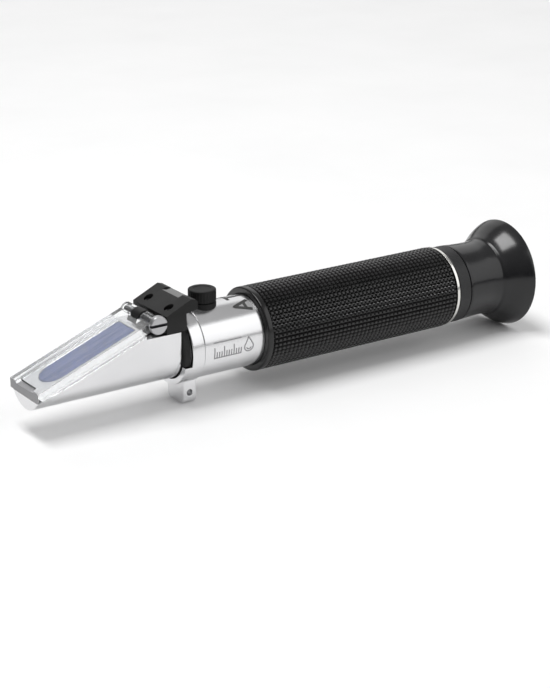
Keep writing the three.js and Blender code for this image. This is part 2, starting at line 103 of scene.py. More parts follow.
class Nodes:
    """A material's node tree with short names for adding and joining nodes."""

    def __init__(self, name):
        self.mat = bpy.data.materials.new(name)
        self.mat.use_nodes = True
        self.tree = self.mat.node_tree
        self.bsdf = self.tree.nodes["Principled BSDF"]
        self.coords = self.add("ShaderNodeTexCoord").outputs["Object"]

    def add(self, kind, **values):
        node = self.tree.nodes.new(kind)
        for key, value in values.items():
            setattr(node, key, value)
        return node

    def link(self, a, b):
        self.tree.links.new(a, b)

    def set(self, **values):
        for key, value in values.items():
            self.bsdf.inputs[key.replace("_", " ")].default_value = value

    def mapped(self, scale):
        node = self.add("ShaderNodeMapping")
        node.inputs["Scale"].default_value = scale
        self.link(self.coords, node.inputs["Vector"])
        return node.outputs["Vector"]

    def noise(self, scale, detail=4.0, rough=0.55, stretch=None):
        node = self.add("ShaderNodeTexNoise")
        node.inputs["Scale"].default_value = scale
        node.inputs["Detail"].default_value = detail
        node.inputs["Roughness"].default_value = rough
        self.link(self.mapped(stretch) if stretch else self.coords, node.inputs["Vector"])
        return node.outputs["Fac"]

    def remap(self, value, low, high, from_low=0.3, from_high=0.7):
        node = self.add("ShaderNodeMapRange")
        node.inputs["From Min"].default_value = from_low
        node.inputs["From Max"].default_value = from_high
        node.inputs["To Min"].default_value = low
        node.inputs["To Max"].default_value = high
        self.link(value, node.inputs["Value"])
        return node.outputs["Result"]

    def blend(self, value, dark, light):
        node = self.add("ShaderNodeMix", data_type="RGBA")
        node.inputs["A"].default_value = (*dark, 1)
        node.inputs["B"].default_value = (*light, 1)
        self.link(value, node.inputs["Factor"])
        return node.outputs["Result"]

    def bump(self, value, strength, distance=0.0001, onto=None):
        node = self.add("ShaderNodeBump")
        node.inputs["Strength"].default_value = strength
        node.inputs["Distance"].default_value = distance
        self.link(value, node.inputs["Height"])
        if onto is not None:
            self.link(onto, node.inputs["Normal"])
        return node.outputs["Normal"]


def chrome(name, colour, roughness, lathe_marks, spread=0.05):
    """Plated metal: faint turning marks round the axis, small stains and a few fine scratches."""
    n = Nodes(name)
    n.set(Metallic=1.0)
    cloud = n.noise(60, 5.0)
    fine = n.noise(900, 2.0)
    dark = tuple(c * 0.93 for c in colour)
    n.link(n.blend(n.remap(cloud, 0, 1), dark, colour), n.bsdf.inputs["Base Color"])
    rough = n.remap(cloud, roughness, roughness + spread)
    n.link(rough, n.bsdf.inputs["Roughness"])
    marks = n.noise(1.0, 3.0, 0.7, stretch=(5200, 60, 60))
    normal = n.bump(marks, lathe_marks, 0.00002)
    normal = n.bump(fine, lathe_marks * 0.6, 0.00001, normal)
    n.link(normal, n.bsdf.inputs["Normal"])
    return n.mat


def moulded(name, colour, roughness, grain, **surface):
    """Moulded black plastic or paint: fine pebble grain, dull patches and worn, lighter edges."""
    n = Nodes(name)
    n.set(**surface)
    cloud = n.noise(90, 4.0)
    pebble = n.noise(2400, 3.0, 0.6)
    dark = tuple(c * 0.75 for c in colour)
    base = n.blend(n.remap(cloud, 0, 1), dark, colour)
    edge = n.add("ShaderNodeNewGeometry").outputs["Pointiness"]
    worn = n.remap(edge, 0.0, 0.25, 0.52, 0.60)
    lift = n.add("ShaderNodeMix", data_type="RGBA")
    lift.inputs["B"].default_value = (*(c * 2.4 + 0.012 for c in colour), 1)
    n.link(base, lift.inputs["A"])
    n.link(worn, lift.inputs["Factor"])
    n.link(lift.outputs["Result"], n.bsdf.inputs["Base Color"])
    n.link(n.remap(cloud, roughness - 0.06, roughness + 0.08), n.bsdf.inputs["Roughness"])
    n.link(n.bump(pebble, grain, 0.00005), n.bsdf.inputs["Normal"])
    return n.mat


def rubber(name, colour, roughness, sheen, dust=0.12, spread=0.12, texture=1.0):
    """Soft black rubber: satin bloom, faint mottling and a very fine bump."""
    n = Nodes(name)
    n.set(Sheen_Weight=sheen, Sheen_Roughness=0.45, Specular_IOR_Level=0.45)
    cloud = n.noise(140, 6.0, 0.65)
    fine = n.noise(3200, 2.0)
    pale = tuple(c + dust * 0.12 for c in colour)
    n.link(n.blend(n.remap(cloud, 0, 1), colour, pale), n.bsdf.inputs["Base Color"])
    n.link(n.remap(cloud, roughness, roughness + spread), n.bsdf.inputs["Roughness"])
    normal = n.bump(fine, 0.25 * texture, 0.00003)
    n.link(n.bump(n.noise(420, 3.0), 0.12 * texture, 0.00008, normal), n.bsdf.inputs["Normal"])
    return n.mat


def brushed(name, colour, roughness):
    """Small machined metal parts: drawn grain with slight tarnish."""
    n = Nodes(name)
    n.set(Metallic=1.0)
    grain = n.noise(1.0, 3.0, 0.7, stretch=(300, 4200, 4200))
    cloud = n.noise(220, 4.0)
    dark = tuple(c * 0.7 for c in colour)
    n.link(n.blend(n.remap(cloud, 0, 1), dark, colour), n.bsdf.inputs["Base Color"])
    n.link(n.remap(grain, roughness - 0.05, roughness + 0.12), n.bsdf.inputs["Roughness"])
    n.link(n.bump(grain, 0.3, 0.00003), n.bsdf.inputs["Normal"])
    return n.mat


def lens_glass(name, tint):
    """Coated lens glass: clear, with a faint coloured coat and traces of dust."""
    n = Nodes(name)
    n.set(Transmission_Weight=1.0, IOR=1.52, Coat_Weight=0.6, Coat_Roughness=0.02)
    n.bsdf.inputs["Coat Tint"].default_value = (*tint, 1)
    dust = n.noise(500, 6.0, 0.7)
    n.link(n.blend(n.remap(dust, 0, 1), (0.90, 0.94, 0.95), (0.97, 0.98, 0.98)),
           n.bsdf.inputs["Base Color"])
    n.link(n.remap(dust, 0.01, 0.05), n.bsdf.inputs["Roughness"])
    return n.mat


def plate_plastic(name, index, coating):
    """Clear moulded plastic with swirl marks and fine rubs; a low index makes it less like metal."""
    n = Nodes(name)
    n.set(Transmission_Weight=0.96, IOR=index, Specular_IOR_Level=coating)
    swirl = n.noise(70, 5.0, 0.6)
    rubs = n.noise(1.0, 4.0, 0.75, stretch=(700, 2600, 700))
    n.link(n.blend(n.remap(swirl, 0, 1), (0.93, 0.95, 0.96), (0.99, 0.995, 1.0)),
           n.bsdf.inputs["Base Color"])
    n.link(n.remap(rubs, 0.02, 0.09), n.bsdf.inputs["Roughness"])
    n.link(n.bump(rubs, 0.05, 0.00002), n.bsdf.inputs["Normal"])
    return n.mat


def prism_glass():
    """Measuring prism, as an opaque deep blue surface with faint streaks where samples dried."""
    n = Nodes("prism_glass")
    n.set(IOR=1.45)
    stain = n.noise(1.0, 5.0, 0.6, stretch=(45, 320, 45))
    n.link(n.blend(n.remap(stain, 0, 1), (0.022, 0.070, 0.29), (0.055, 0.115, 0.40)),
           n.bsdf.inputs["Base Color"])
    n.link(n.remap(stain, 0.22, 0.34), n.bsdf.inputs["Roughness"])
    return n.mat


def ink(name, colour, roughness=0.5):
    """Printed or etched marking: slightly broken colour."""
    n = Nodes(name)
    speck = n.noise(1500, 4.0, 0.7)
    pale = tuple(min(1.0, c + 0.05) for c in colour)
    n.link(n.blend(n.remap(speck, 0, 1), colour, pale), n.bsdf.inputs["Base Color"])
    n.link(n.remap(speck, roughness, roughness + 0.15), n.bsdf.inputs["Roughness"])
    n.link(n.bump(speck, 0.2, 0.00002), n.bsdf.inputs["Normal"])
    return n.mat


CHROME = chrome("satin_chrome", (0.76, 0.76, 0.77), 0.19, 0.12)
STEEL = chrome("polished_steel", (0.78, 0.77, 0.74), 0.14, 0.06)
PIN_STEEL = chrome("pin_steel", (0.46, 0.46, 0.47), 0.3, 0.1)
BLACK = moulded("black_plastic", (0.006, 0.006, 0.006), 0.45, 0.3, Specular_IOR_Level=0.26)
LAND_BLACK = moulded("polished_black", (0.012, 0.012, 0.012), 0.12, 0.06, IOR=2.6)
KNOB_BLACK = moulded("knob_plastic", (0.003, 0.003, 0.003), 0.55, 0.2, Specular_IOR_Level=0.28)
BARREL_BLACK = moulded("barrel_plastic", (0.006, 0.006, 0.007), 0.45, 0.08)
GRIP_BLACK = rubber("grip_rubber", (0.004, 0.004, 0.004), 0.17, 0.0, dust=0.06, spread=0.08)
CUP_BLACK = rubber("cup_rubber", (0.005, 0.005, 0.006), 0.17, 0.0, dust=0.04, spread=0.05, texture=0.3)
SEAL_BLACK = rubber("seal_rubber", (0.004, 0.004, 0.004), 0.75, 0.0)
ANODISED = brushed("black_anodised", (0.05, 0.05, 0.055), 0.45)
BLACK_STEEL = brushed("black_steel", (0.05, 0.05, 0.055), 0.32)
SCREW_BLACK = moulded("blackened_screw", (0.020, 0.020, 0.021), 0.34, 0.08)
BRASS = brushed("turned_brass", (0.75, 0.60, 0.30), 0.28)
BIMETAL = brushed("rolled_bimetal", (0.55, 0.48, 0.38), 0.34)
LENS = lens_glass("lens_glass", (0.75, 0.9, 0.8))
PLATE = plate_plastic("clear_plate", 1.45, 0.5)
EAR = plate_plastic("clear_ear", 1.12, 0.3)
PRISM = prism_glass()
# Painted shade: an opaque grey for the floor of the plate's notch, standing in for the shade in the
# groove.
NOTCH_SHADE = ink("notch_painted_shade", (0.30, 0.30, 0.31), 0.55)
PRINT = ink("black_print", (0.012, 0.012, 0.012))
ETCH = ink("grey_etch", (0.26, 0.26, 0.27), 0.6)


# ---- meshes ----


def finish_mesh(obj, angle=32):
    """Smooth shading, split where faces meet at more than the angle."""
    for poly in obj.data.polygons:
        poly.use_smooth = True
    obj.data.set_sharp_from_angle(angle=math.radians(angle))


def mesh_object(name, verts, faces):
    mesh = bpy.data.meshes.new(name)
    mesh.from_pydata([tuple(v) for v in verts], [], faces)
    obj = bpy.data.objects.new(name, mesh)
    bpy.context.scene.collection.objects.link(obj)
    return obj


def new_piece(name, verts, faces, material, body=None, slot=None, replaces=()):
    """A welded, smooth mesh. One that is still to be carved gets its body from dress; slot is not used.
    """
    obj = mesh_object(name, verts, faces)
    obj.data.validate()
    weld(obj)
    finish_mesh(obj)
    return dress(obj, material, body, replaces)


def dress(obj, material, body, replaces=()):
    obj.data.materials.clear()
    obj.data.materials.append(material)
    if body:
        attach(obj, body)
    if replaces:
        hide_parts(*replaces)
    return obj


def weld(obj):
    """Joins doubled corners and turns every face outwards."""
    bm = bmesh.new()
    bm.from_mesh(obj.data)
    bmesh.ops.remove_doubles(bm, verts=bm.verts, dist=1e-7)
    bmesh.ops.dissolve_degenerate(bm, edges=bm.edges, dist=1e-8)
    bmesh.ops.recalc_face_normals(bm, faces=bm.faces)
    bm.to_mesh(obj.data)
    bm.free()


def apply_modifiers(obj):
    depsgraph = bpy.context.evaluated_depsgraph_get()
    baked = bpy.data.meshes.new_from_object(obj.evaluated_get(depsgraph))
    obj.modifiers.clear()
    old = obj.data
    obj.data = baked
    bpy.data.meshes.remove(old)


def filleted(profile, steps=4):
    """Closed profile of (a, r, fillet) corners, with each corner's fillet drawn as a small arc."""
    out = []
    count = len(profile)
    for i, (a, r, fillet) in enumerate(profile):
        if not fillet:
            out.append((a, r))
            continue
        here = Vector((a, r))
        before = Vector(profile[i - 1][:2]) - here
        after = Vector(profile[(i + 1) % count][:2]) - here
        reach = min(fillet, before.length * 0.49, after.length * 0.49)
        p = here + before.normalized() * reach
        q = here + after.normalized() * reach
        for k in range(steps + 1):
            t = k / steps
            out.append(tuple(p * (1 - t) ** 2 + here * 2 * t * (1 - t) + q * t * t))
    return out


def revolve(profile, place, segments, radius=None):
    """Vertices and faces of a closed profile turned about the axis that place(a, r, angle) draws."""
    verts, faces = [], []
    count = len(profile)
    for j in range(segments):
        angle = 2 * math.pi * j / segments
        for a, r in profile:
            verts.append(place(a, radius(a, r, angle) if radius else r, angle))
    for j in range(segments):
        k = (j + 1) % segments
        for i in range(count):
            m = (i + 1) % count
            if profile[i][1] < 1e-6 and profile[m][1] < 1e-6:
                continue
            faces.append((j * count + i, j * count + m, k * count + m, k * count + i))
    return verts, faces


def about_axis(a, r, angle):
    return point(a, r * math.sin(angle), r * math.cos(angle))


def about_vertical(cx, cy=0.0):
    return lambda a, r, angle: point(cx + r * math.cos(angle), cy + r * math.sin(angle), a)


def about_pin(a, r, angle):
    return point(PIN_X + r * math.cos(angle), a, PIN_Z + r * math.sin(angle))


def spanned(first, last):
    """Vertices and faces of the solid between two outlines with the same number of corners."""
    count = len(first)
    faces = [tuple(range(count)), tuple(range(2 * count - 1, count - 1, -1))]
    for i in range(count):
        k = (i + 1) % count
        faces.append((i, i + count, k + count, k))
    return first + last, faces


def pin_cylinder(half, radius, segments):
    """A cylinder about the hinge pin that reaches half to either side of the middle."""
    return revolve([(-half, 0), (-half, radius), (half, radius), (half, 0)], about_pin, segments)


def extruded(outline, y0, y1):
    """A side outline of [x, z] corners, drawn out from y0 to y1."""
    return spanned([point(x, y0, z) for x, z in outline], [point(x, y1, z) for x, z in outline])


def lengthwise(section, x0, x1):
    """A cross-section of [y, z] corners, drawn out from x0 to x1."""
    return spanned([point(x0, y, z) for y, z in section], [point(x1, y, z) for y, z in section])


def boxed(x0, x1, y0, y1, z0, z1):
    return extruded([(x0, z0), (x1, z0), (x1, z1), (x0, z1)], y0, y1)


def tool(verts, faces):
    """A cutter for booleans, removed again by carve."""
    obj = mesh_object("tool", verts, faces)
    weld(obj)
    return obj


def carve(obj, cutters, operation="DIFFERENCE"):
    for cutter in cutters:
        mod = obj.modifiers.new("cut", "BOOLEAN")
        mod.operation = operation
        mod.solver = "EXACT"
        mod.object = cutter
    apply_modifiers(obj)
    for cutter in cutters:
        mesh = cutter.data
        bpy.data.objects.remove(cutter)
        bpy.data.meshes.remove(mesh)


def soften(obj, width, segments=3, angle=34):
    """Rounds the sharp edges by width millimetres."""
    bm = bmesh.new()
    bm.from_mesh(obj.data)
    bmesh.ops.dissolve_limit(bm, angle_limit=math.radians(0.5), verts=bm.verts, edges=bm.edges)
    bm.to_mesh(obj.data)
    bm.free()
    mod = obj.modifiers.new("round", "BEVEL")
    mod.width = width * MM
    mod.segments = segments
    mod.limit_method = "ANGLE"
    mod.angle_limit = math.radians(angle)
    mod.use_clamp_overlap = True
    apply_modifiers(obj)
    finish_mesh(obj, 40)
    even = obj.modifiers.new("even", "WEIGHTED_NORMAL")
    even.keep_sharp = True
    apply_modifiers(obj)


# ---- tube, grip and rings ----


def make_tube():
    profile = filleted([
        (-29.2, SPIGOT_R, 0), (-29.2, 11.5, 0.1), (-24.1, 11.5, 0), (-24.1, TUBE_R, 0.25),
        (85.0, TUBE_R, 0.2), (85.0, TUBE_BORE, 0), (-22.0, TUBE_BORE, 0), (-22.0, SPIGOT_R, 0),
    ])
    verts, faces = revolve(profile, about_axis, 160)
    new_piece("tube", verts, faces, CHROME, "frame", "satin_chrome", ["main_tube"])


def make_gasket():
    """Rubber ring that shows above; low down it is cut back to clear the collar's lip."""
    profile = filleted([
        (-31.9, SPIGOT_R, 0.2), (-31.9, 12.2, 0.5), (-29.5, 12.2, 0.5), (-29.5, SPIGOT_R, 0.2),
    ])
    obj = new_piece("gasket", *revolve(profile, about_axis, 128), SEAL_BLACK)
    room = tool(*revolve([(-33, 10.8), (-33, 14), (-28, 14), (-28, 10.8)], about_axis, 128))
    carve(room, [tool(*boxed(-34, -27, -20, 20, -20, LIP_TOP_Z + GAP))], "INTERSECT")
    carve(obj, [room])
    finish_mesh(obj)
    dress(obj, SEAL_BLACK, "frame", ["head_gasket"])


def make_trim():
    profile = filleted([
        (83.8, SLEEVE_BORE, 0), (83.8, TRIM_R, 0.1), (84.9, TRIM_R, 0.1), (84.9, SLEEVE_BORE, 0),
    ])
    verts, faces = revolve(profile, about_axis, 160)
    new_piece("trim", verts, faces, STEEL, "frame", "steel", ["trim_ring"])


GRIP_AROUND = 56
GRIP_ALONG = 47
GRIP_SUB = 4
FLANGE_X1 = 2.2
STUD_DEPTH = 0.75


def stud_height(u, v):
    """Height of the raised point at a place in its cell, 0 in the groove and 1 on top."""
    a = 1 - abs(2 * (u % 1.0) - 1)
    b = 1 - abs(2 * (v % 1.0) - 1)
    rise = min(1.0, 1.55 * min(a, b))
    return rise * (2 - rise)


def make_grip():
    """The sleeve: a smooth band in front, then rows of small raised points to the trim ring."""
    around = GRIP_AROUND * GRIP_SUB
    along = GRIP_ALONG * GRIP_SUB
    first, last = FLANGE_X1 + 0.3, GRIP_X1 - 0.15
    head = filleted([(0.0, SLEEVE_BORE, 0), (0.0, GRIP_R, 0.7), (FLANGE_X1, GRIP_R, 0.25)])
    rings = [(x, r, 0.0) for x, r in head] + [(FLANGE_X1 + 0.05, GRIP_R - STUD_DEPTH, 0.0)]
    for i in range(along + 1):
        x = first + (last - first) * i / along
        rings.append((x, GRIP_R - STUD_DEPTH, i / GRIP_SUB))
    rings += [(GRIP_X1, GRIP_R - STUD_DEPTH, 0.0), (GRIP_X1, SLEEVE_BORE, 0.0)]
    verts, faces = [], []
    count = len(rings)
    for j in range(around):
        angle = 2 * math.pi * j / around
        for x, r, row in rings:
            lift = STUD_DEPTH * stud_height(j / GRIP_SUB, row) if row else 0.0
            verts.append(about_axis(x, r + lift, angle))
    for j in range(around):
        k = (j + 1) % around
        for i in range(count):
            m = (i + 1) % count
            faces.append((j * count + i, j * count + m, k * count + m, k * count + i))
    new_piece("grip", verts, faces, GRIP_BLACK, "frame", "grip_rubber", ["grip_sleeve"])


# ---- eyepiece ----


def make_barrel():
    """The focusing barrel with fine ribs on the band in front of the cup's skirt."""
    ribs = 120
    profile = filleted([
        (85.5, TUBE_BORE, 0), (85.5, BARREL_R, 0.6), (86.6, BARREL_R, 0), (89.9, BARREL_R, 0),
        (90.7, BARREL_R, 0.3), (90.7, BARREL_NECK_R, 0), (104.0, BARREL_NECK_R, 0), (104.0, 8.0, 0.3),
        (99.4, 8.0, 0), (99.4, TUBE_BORE, 0),
    ])

    def ribbed(x, r, angle):
        if 86.5 < x < 90.0 and r > 14:
            return r - 0.09 * (0.5 + 0.5 * math.cos(ribs * angle))
        return r

    verts, faces = revolve(profile, about_axis, ribs * 4, ribbed)
    new_piece("barrel", verts, faces, BARREL_BLACK, "barrel", "black_plastic", ["focus_barrel"])


def smooth_curve(points, steps):
    """Points on a Catmull-Rom curve through the given points."""
    out = []
    for i in range(len(points) - 1):
        p0 = Vector(points[max(i - 1, 0)])
        p1, p2 = Vector(points[i]), Vector(points[i + 1])
        p3 = Vector(points[min(i + 2, len(points) - 1)])
        for k in range(steps):
            t = k / steps
            out.append(tuple(0.5 * (2 * p1 + (p2 - p0) * t + (2 * p0 - 5 * p1 + 4 * p2 - p3) * t * t
                                    + (3 * p1 - p0 - 3 * p2 + p3) * t ** 3)))
    out.append(tuple(points[-1]))
    return out


def make_cup():
    """Rubber eyecup: skirt, waist, a soft crease, and the flare up to a rounded rim."""
    neck = smooth_curve([(91.6, 14.35), (95.0, 14.15), (99.0, 13.95), (103.0, 13.9), (106.4, 14.25)], 4)
    flare = smooth_curve([
        (107.0, 14.75), (109.0, 15.75), (111.2, 17.2), (113.6, 18.75), (115.8, 19.8), (116.7, 20.12),
    ], 4)
    rim = [(116.95, 20.17), (117.08, 20.05), (117.1, 19.8), (117.05, 19.4)]
    bowl = smooth_curve([(116.2, 18.55), (113.0, 16.0), (109.0, 12.9), (106.2, 11.1), (104.6, 9.6)], 4)
    profile = [(91.0, 12.7), (91.0, 14.0), (91.15, 14.25)] + neck + [(106.75, 14.45)] + flare + rim + bowl
    profile += [(104.3, 9.3), (104.3, 12.7)]
    verts, faces = revolve(profile, about_axis, 160)
    new_piece("cup", verts, faces, CUP_BLACK, "barrel", "cup_rubber", ["eyecup"])


# ---- knob ----


def make_knob():
    flutes = 28
    profile = filleted([
        (14.0, 1.3, 0), (14.0, KNOB_R, 0.25), (14.9, KNOB_R, 0), (17.2, KNOB_R, 0),
        (18.2, KNOB_R, 0.7), (18.2, 3.2, 0.2), (18.0, 3.0, 0.2), (18.0, 0.0, 0),
        (16.8, 0.0, 0), (16.8, 1.3, 0),
    ])

    def fluted(z, r, angle):
        if 14.5 < z < 17.5 and r > 4.5:
            return r - 0.14 * (0.5 + 0.5 * math.cos(flutes * angle)) ** 2
        return r

    verts, faces = revolve(profile, about_vertical(KNOB_X), flutes * 8, fluted)
    new_piece("knob", verts, faces, KNOB_BLACK, "knob", "black_plastic", ["calibration_knob"])


def make_bush():
    profile = filleted([(11.2, 1.3, 0), (11.2, KNOB_R, 0), (13.7, KNOB_R, 0.3), (13.7, 1.3, 0)])
    verts, faces = revolve(profile, about_vertical(KNOB_X), 96)
    obj = new_piece("bush", verts, faces, KNOB_BLACK)
    saddle = revolve([(KNOB_X - 8, 0), (KNOB_X - 8, 12.65), (KNOB_X + 8, 12.65), (KNOB_X + 8, 0)],
                     about_axis, 160)
    carve(obj, [tool(*saddle)])
    finish_mesh(obj, 40)
    dress(obj, KNOB_BLACK, "frame", ["knob_bush"])


# ---- prism head ----


def prism_tool(grow, up):
    """The prism's space: flat bottom, sloping top, rounded front end."""
    half = 5.4 + grow
    centre = on_slope(7.5, 0)[0] + 5.4
    plan = [(-46.6 + grow, -half), (-46.6 + grow, half)]
    for i in range(25):
        angle = math.pi / 2 + math.pi * i / 24
        plan.append((centre + half * math.cos(angle), half * math.sin(angle)))
    low = -6.0 - grow
    return spanned([point(x, y, low) for x, y in plan], [point(x, y, slope_z(x, up)) for x, y in plan])


def make_head():
    section = [(-HEAD_R, 22.0)]
    for i in range(49):
        angle = math.pi + math.pi * i / 48
        section.append((HEAD_R * math.cos(angle), HEAD_R * math.sin(angle)))
    section.append((HEAD_R, 22.0))
    obj = new_piece("head", *lengthwise(section, HEAD_X0, HEAD_X1), CHROME)
    above = extruded([
        (-88, slope_z(-88)), (SEAT_X, slope_z(SEAT_X)), (SEAT_X, SEAT_Z), (-30, SEAT_Z),
        (-30, 30), (-88, 30),
    ], -14, 14)
    bore = revolve([(-48, 0), (-48, 4.5), (-30, 4.5), (-30, 0)], about_axis, 48)
    carve(obj, [tool(*above), tool(*prism_tool(0.25, 3)), tool(*bore)])
    soften(obj, 0.35)
    dress(obj, CHROME, "frame", ["prism_head"])


def make_prism():
    verts, faces = prism_tool(0.0, 0.0)
    obj = new_piece("prism", verts, faces, PRISM)
    soften(obj, 0.18, 2)
    dress(obj, PRISM, "frame", ["main_prism"])


# ---- daylight plate and hinge ----


def make_plate():
    d0, d1 = GAP, GAP + 3.1
    outline = [
        (TIP_X, slope_z(TIP_X, d0)), on_slope(47.0, d0), on_slope(47.0, d1), (TIP_X, slope_z(TIP_X, d1)),
    ]
    obj = new_piece("plate", *extruded(outline, -PLATE_HALF, PLATE_HALF), PLATE)
    knuckle = pin_cylinder(PLATE_HALF, PLATE_KNUCKLE_R, 48)
    carve(obj, [tool(*knuckle)], "UNION")
    hole = pin_cylinder(11, 1.15, 32)
    slot = boxed(PIN_X - 3.3, -30, -2.9, 2.9, 5, 20)
    notch = extruded([
        on_slope(1.1, d1 - 0.9), on_slope(3.1, d1 - 0.9), on_slope(3.1, 6), on_slope(1.1, 6),
    ], -5.5, 5.5)
    carve(obj, [tool(*hole), tool(*slot), tool(*notch)])
    soften(obj, 0.3)
    dress(obj, PLATE, "plate", ["daylight_plate"])
    obj.data.materials.append(NOTCH_SHADE)
    obj.data.materials.append(EAR)
    x, z = on_slope(2.1, d1 - 0.9)
    floor = point(x, 0, z)
    pin = point(PIN_X, 0, PIN_Z)
    for poly in obj.data.polygons:
        c = poly.center
        corners = [obj.data.vertices[i].co - pin for i in poly.vertices]
        if max(math.hypot(corner.x, corner.z) for corner in corners) < 2.6 * MM:
            poly.material_index = 2
        # The notch floor takes the grey painted shade, material index 1.
        flat = abs((c - floor).dot(Vector((-math.sin(SLOPE), 0, math.cos(SLOPE))))) < 0.1 * MM
        if flat and abs(c.y) < 5.3 * MM and abs(c.x - floor.x) < 1.2 * MM:
            poly.material_index = 1


def make_hinge_base():
    outline = [
        (-38.1, 8.7), (-30.3, 8.7), (-30.3, 14.6), (-26.0, 15.4), (-25.8, 18.1), (-26.6, 18.8),
        (-28.4, 19.3), (-38.1, 14.9),
    ]
    obj = new_piece("hinge_block", *extruded(outline, -BLOCK_HALF, BLOCK_HALF), BLACK)
    knuckle = pin_cylinder(BASE_KNUCKLE_HALF, BASE_KNUCKLE_R, 48)
    web = boxed(PIN_X, -37.5, -BASE_KNUCKLE_HALF, BASE_KNUCKLE_HALF, PIN_Z - BASE_KNUCKLE_R, PIN_Z + 1.2)
    carve(obj, [tool(*knuckle), tool(*web)], "UNION")
    relief = revolve([(-32.2, 0), (-32.2, 13.4), (-20, 13.4), (-20, 0)], about_axis, 128)
    wells = []
    for y in (-SCREW_Y, SCREW_Y):
        well = revolve([(12.4, 0), (12.4, 1.6), (25, 1.6), (25, 0)], about_vertical(SCREW_X, y), 32)
        wells.append(tool(*well))
    land = boxed(-30.6, -20, -5.3, 5.3, LAND_Z, 25)
    carve(obj, [tool(*relief), tool(*land)] + wells)
    soften(obj, 0.45)
    dress(obj, BLACK, "frame", ["hinge_base"])
    obj.data.materials.append(LAND_BLACK)
    land_height = point(0, 0, LAND_Z).z
    for poly in obj.data.polygons:
        level = abs(poly.center.z - land_height) < 0.15 * MM and poly.normal.z > 0.9
        if level and abs(poly.center.y) < 5.2 * MM:
            poly.material_index = 1


def make_pin():
    """The hinge pin: a slotted bright head on a blackened shaft."""
    head = filleted([(-12.0, 0, 0), (-12.0, 3.2, 0.5), (-10.2, 3.2, 0.2), (-10.2, 0, 0)])
    obj = new_piece("pin_head", *revolve(head, about_pin, 64), PIN_STEEL)
    carve(obj, [tool(*boxed(PIN_X - 4, PIN_X + 4, -13, -11.1, PIN_Z - 0.5, PIN_Z + 0.5))])
    finish_mesh(obj, 40)
    dress(obj, PIN_STEEL, "frame")
    obj.data.materials.append(BLACK_STEEL)
    face = point(0, -11.95, 0).y
    middle = point(0, 0, PIN_Z).z
    for poly in obj.data.polygons:
        if poly.center.y > face and abs(poly.center.z - middle) < 0.51 * MM and abs(poly.normal.x) < 0.5:
            poly.material_index = 1
    shaft = filleted([(-10.3, 0, 0), (-10.3, 1.0, 0), (9.6, 1.0, 0.2), (9.6, 0, 0)])
    new_piece("pin_shaft", *revolve(shaft, about_pin, 48), BLACK_STEEL, "frame", "steel", ["hinge_pin"])


def make_base_screw(name, y):
    profile = filleted([
        (4.4, 0, 0), (4.4, 0.7, 0), (12.7, 0.7, 0), (12.7, 1.3, 0.1), (15.5, 1.3, 0.25), (15.5, 0, 0),
    ])
    place = about_vertical(SCREW_X, y)
    obj = new_piece(name + "_fine", *revolve(profile, place, 40), BLACK_STEEL)
    socket = revolve([(14.3, 0), (14.3, 0.7), (17, 0.7), (17, 0)], place, 6)
    carve(obj, [tool(*socket)])
    finish_mesh(obj, 30)
    dress(obj, SCREW_BLACK, "frame", [name])


# ---- strap collar ----


def make_collar():
    """The ring, its lower lip that reaches forward to the head, and the strap lug below."""
    profile = filleted([(-29.2, 11.8, 0), (-29.2, 13.1, 0.3), (-24.4, 13.1, 0.35), (-24.4, 11.8, 0)])
    new_piece("collar_ring", *revolve(profile, about_axis, 160), CHROME, "frame", "satin_chrome")

    section = [(-31.9, 11.1), (-31.9, 13.1), (-29.0, 13.1), (-29.0, 11.8), (-29.5, 11.8), (-29.5, 11.1)]
    lip = new_piece("collar_lip", *revolve(section, about_axis, 160), CHROME)
    carve(lip, [tool(*boxed(-34, -27, -20, 20, -20, LIP_TOP_Z))], "INTERSECT")
    soften(lip, 0.25, 2, 50)
    dress(lip, CHROME, "frame")

    foot = [(-5.2, -9.0), (-5.2, -19.0), (-4.0, -20.2), (4.0, -20.2), (5.2, -19.0), (5.2, -9.0)]
    lug = new_piece("collar_lug", *lengthwise(foot, -28.6, -23.6), CHROME)
    room = revolve([(-32, 0), (-32, 12.2), (-24.4, 12.2), (-24.4, 12.9), (-20, 12.9), (-20, 0)],
                   about_axis, 128)
    hole = revolve([(-9, 0), (-9, 1.1), (9, 1.1), (9, 0)],
                   lambda a, r, t: point(-26.1 + r * math.cos(t), a, -16.3 + r * math.sin(t)), 32)
    carve(lug, [tool(*room), tool(*hole)])
    soften(lug, 0.5, 3, 40)
    dress(lug, CHROME, "frame", ["strap_collar"])


# ---- markings on the tube ----


def on_tube(u, v, lift=0.03):
    """A place on the tube: u millimetres round it from the top towards the near side, v along it."""
    angle = u / TUBE_R
    radius = TUBE_R + lift
    return point(v, -radius * math.sin(angle), radius * math.cos(angle))


def stroke(points, width):
    """A flat band of the given width along a line of [u, v] points on the tube."""
    verts, faces = [], []
    dense = []
    for a, b in zip(points, points[1:]):
        a, b = Vector(a), Vector(b)
        steps = max(1, int((b - a).length / 0.35))
        for k in range(steps):
            dense.append(a + (b - a) * k / steps)
    dense.append(Vector(points[-1]))
    for i, p in enumerate(dense):
        q = dense[min(i + 1, len(dense) - 1)] - dense[max(i - 1, 0)]
        side = Vector((-q.y, q.x)).normalized() * (width / 2)
        for sign in (1, -1):
            c = p + side * sign
            verts.append(on_tube(c.x, c.y, 0.045))
            verts.append(on_tube(c.x, c.y, 0.0))
    for i in range(len(dense) - 1):
        a, b = i * 4, i * 4 + 4
        faces += [
            (a, a + 2, b + 2, b), (a, b, b + 1, a + 1),
            (a + 2, a + 3, b + 3, b + 2), (a + 1, b + 1, b + 3, a + 3),
        ]
    last = (len(dense) - 1) * 4
    faces += [(0, 1, 3, 2), (last, last + 2, last + 3, last + 1)]
    return verts, faces


def marking(name, strokes, width, material):
    verts, faces = [], []
    for points in strokes:
        v, f = stroke(points, width)
        base = len(verts)
        verts += v
        faces += [tuple(base + i for i in face) for face in f]
    obj = mesh_object(name, verts, faces)
    weld(obj)
    dress(obj, material, "frame")


